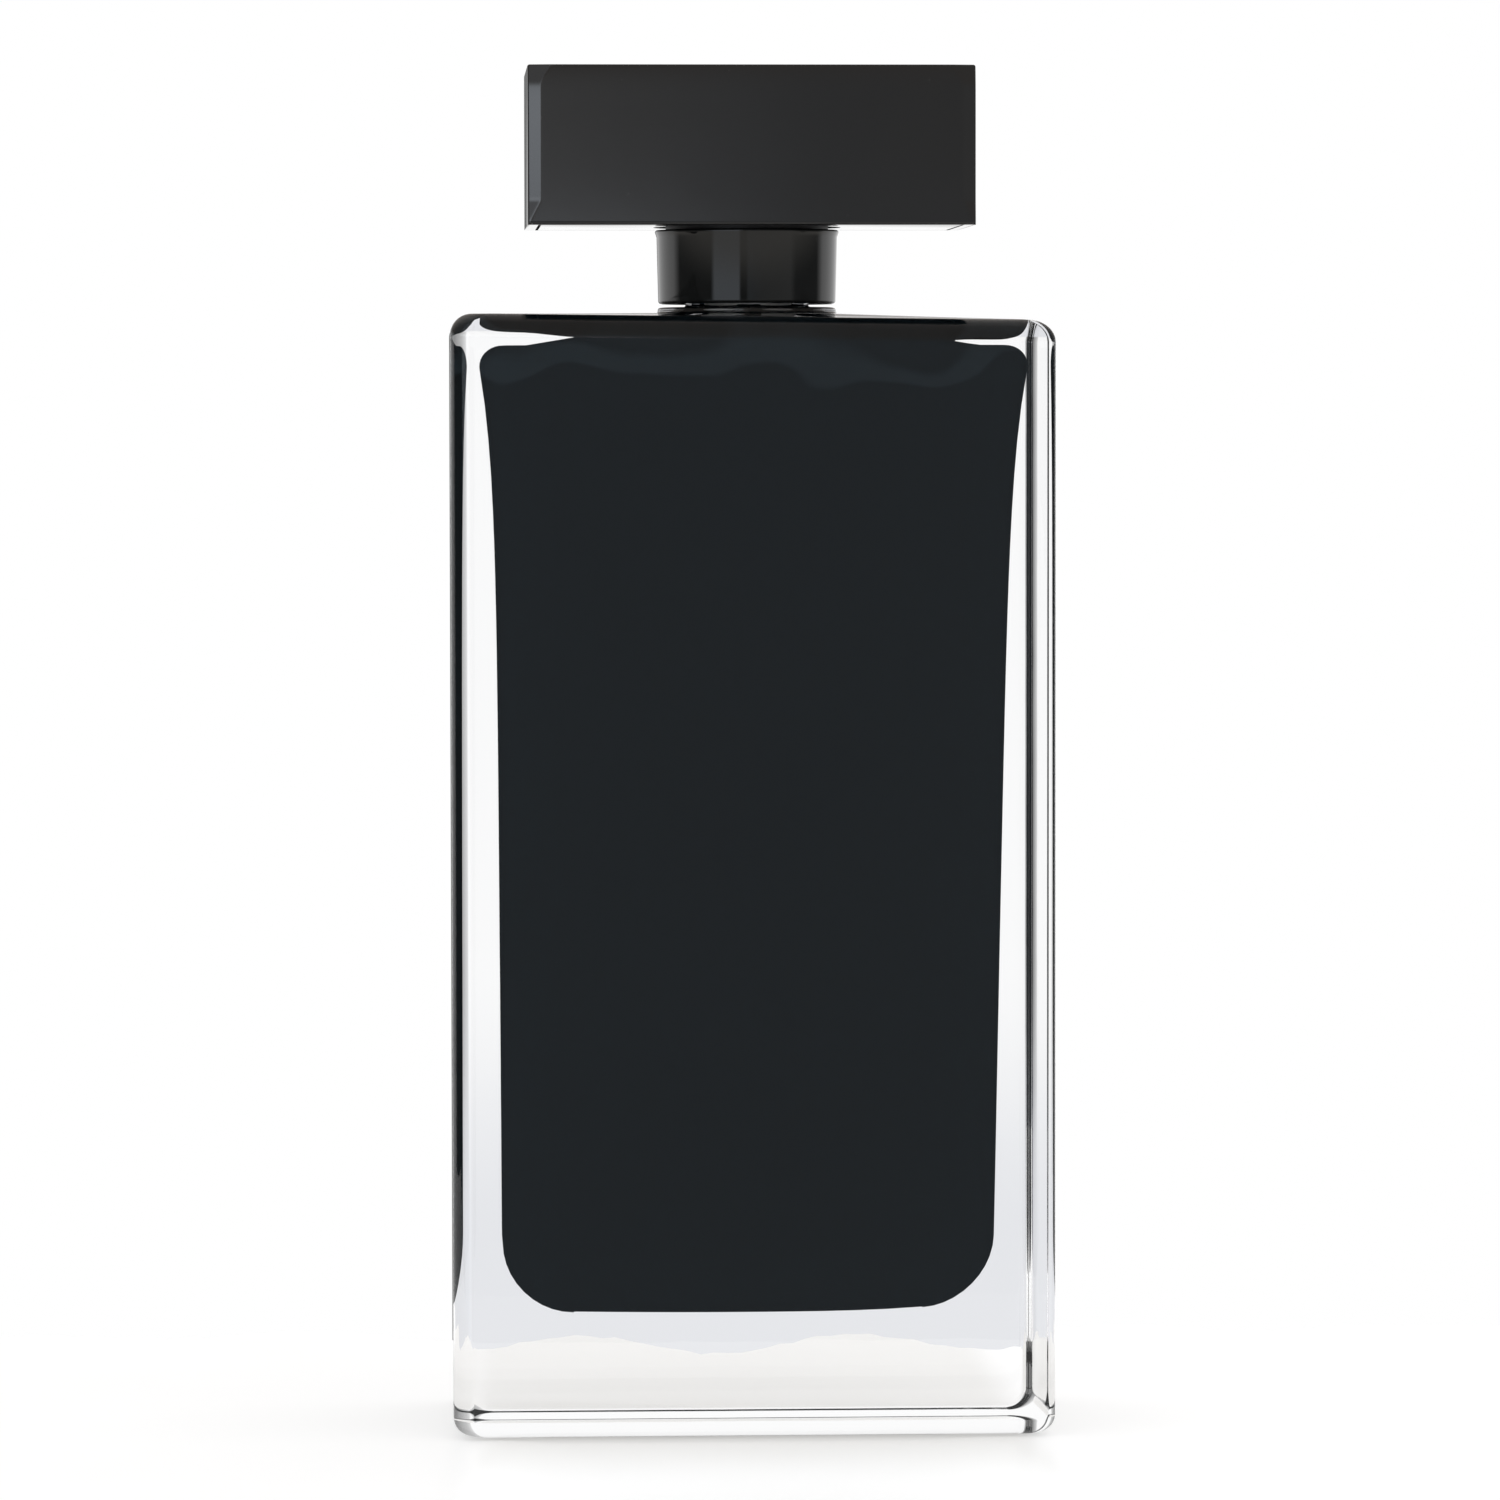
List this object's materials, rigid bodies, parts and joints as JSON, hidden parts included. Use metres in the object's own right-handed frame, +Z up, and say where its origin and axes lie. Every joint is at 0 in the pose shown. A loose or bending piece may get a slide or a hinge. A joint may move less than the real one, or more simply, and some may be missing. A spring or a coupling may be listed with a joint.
{
  "type": "aftershave spray bottle",
  "caption": "Clear thick-walled glass spray bottle, black inside, with a round black collar, a crimp pump and a wide rectangular lift-off cap.",
  "frame": {"origin": "middle of the base", "axes": "+Z up, +X to the bottle's right as seen from the front, the front faces -Y"},
  "size_m": [0.067, 0.034, 0.1524],
  "materials": {
    "clear_glass": "clear, thick, fire-polished",
    "black_lacquer": "gloss black coat under glass",
    "cap_plastic": "polished black moulding",
    "collar_plastic": "high gloss black",
    "inner_plastic": "moulded black, satin",
    "pump_plastic": "natural white moulding",
    "tube_plastic": "translucent extruded tube",
    "seal_rubber": "pale soft seal",
    "ferrule_aluminium": "drawn, satin",
    "spring_steel": "bright drawn wire and ball",
    "weight_metal": "raw die casting"
  },
  "bodies": {
    "bottle": {"glass_bottle": "clear_glass", "inner_lacquer": "black_lacquer", "neck_gasket": "seal_rubber", "crimp_ferrule": "ferrule_aluminium", "pump_housing": "pump_plastic", "pump_retainer": "pump_plastic", "dip_tube": "tube_plastic", "return_spring": "spring_steel"},
    "collar": {"collar_shell": "collar_plastic", "collar_insert": "inner_plastic"},
    "cap": {"cap_shell": "cap_plastic", "cap_liner": "inner_plastic", "cap_weight": "weight_metal", "cap_base_plate": "inner_plastic"},
    "stem": {"valve_stem": "pump_plastic", "piston": "pump_plastic"},
    "actuator": {"actuator_core": "inner_plastic", "actuator_cover": "collar_plastic", "nozzle_insert": "pump_plastic"},
    "ball": {"inlet_ball": "spring_steel"}
  },
  "joints": [
    {"name": "collar_turn", "type": "hinge", "parent": "bottle", "child": "collar", "pos_m": [0, 0, 0.13], "axis": [0, 0, 1], "continuous": true},
    {"name": "cap_lift", "type": "slide", "parent": "collar", "child": "cap", "axis": [0, 0, 1], "range_m": [0, 0.04]},
    {"name": "pump_press", "type": "slide", "parent": "bottle", "child": "stem", "axis": [0, 0, -1], "range_m": [0, 0.0046], "stiffness_N_per_m": 1200, "springref_m": -0.002, "deforming": ["return_spring"]},
    {"name": "actuator_turn", "type": "hinge", "parent": "stem", "child": "actuator", "pos_m": [0, 0, 0.145], "axis": [0, 0, 1], "continuous": true},
    {"name": "ball_lift", "type": "slide", "parent": "bottle", "child": "ball", "axis": [0, 0, 1], "range_m": [0, 0.0008]}
  ]
}
